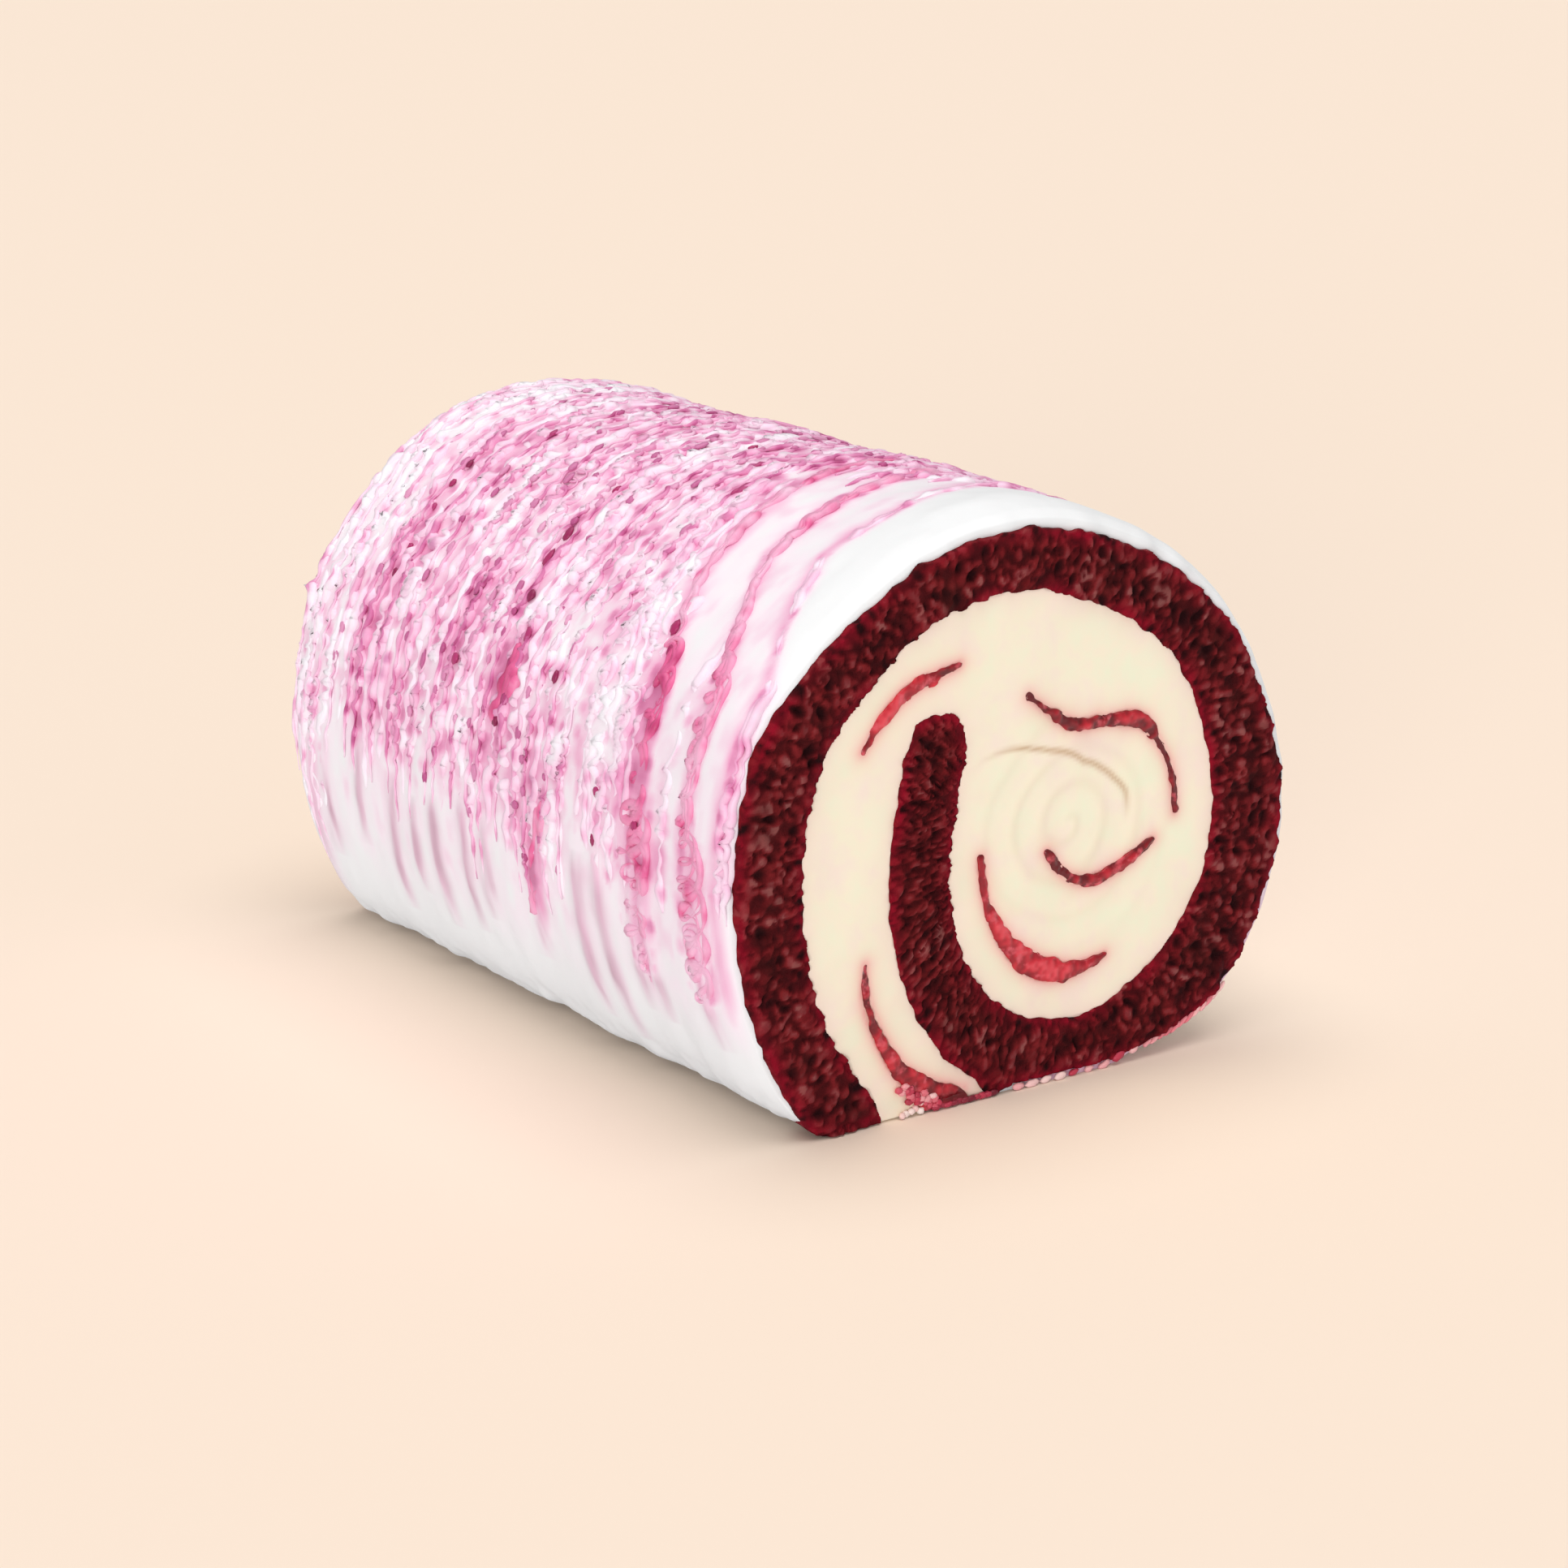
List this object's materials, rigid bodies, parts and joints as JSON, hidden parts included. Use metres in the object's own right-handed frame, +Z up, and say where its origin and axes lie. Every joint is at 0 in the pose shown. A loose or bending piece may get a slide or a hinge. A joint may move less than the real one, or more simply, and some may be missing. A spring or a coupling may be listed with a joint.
{
  "type": "swiss roll cake",
  "caption": "Short swiss roll cake lying on its side: dark sponge sheet rolled round cream with thin jam ribbons, coated in white icing, cut square at both ends.",
  "frame": {"origin": "under the middle of the roll, on the surface that it rests on", "axes": "+Y along the roll, away from the cut face that shows best; +Z up; +X to the right as that face is seen"},
  "size_m": [0.1, 0.126, 0.0841],
  "materials": {
    "sponge": "dark red-brown cut sponge crumb, open pores, no shine",
    "cream": "pale ivory filling cream, smoothly smeared by the knife, soft sheen",
    "jam": "deep red seedless jam, wet gloss",
    "icing": "white icing with fine combed ridges and rough pink threads over it, soft sheen"
  },
  "bodies": {
    "root": {"sponge": "sponge", "cream": "cream", "jam_over_lip": "jam", "jam_upper_wave": "jam", "jam_middle": "jam", "jam_crescent": "jam", "jam_by_seam": "jam", "icing": "icing"}
  },
  "joints": []
}
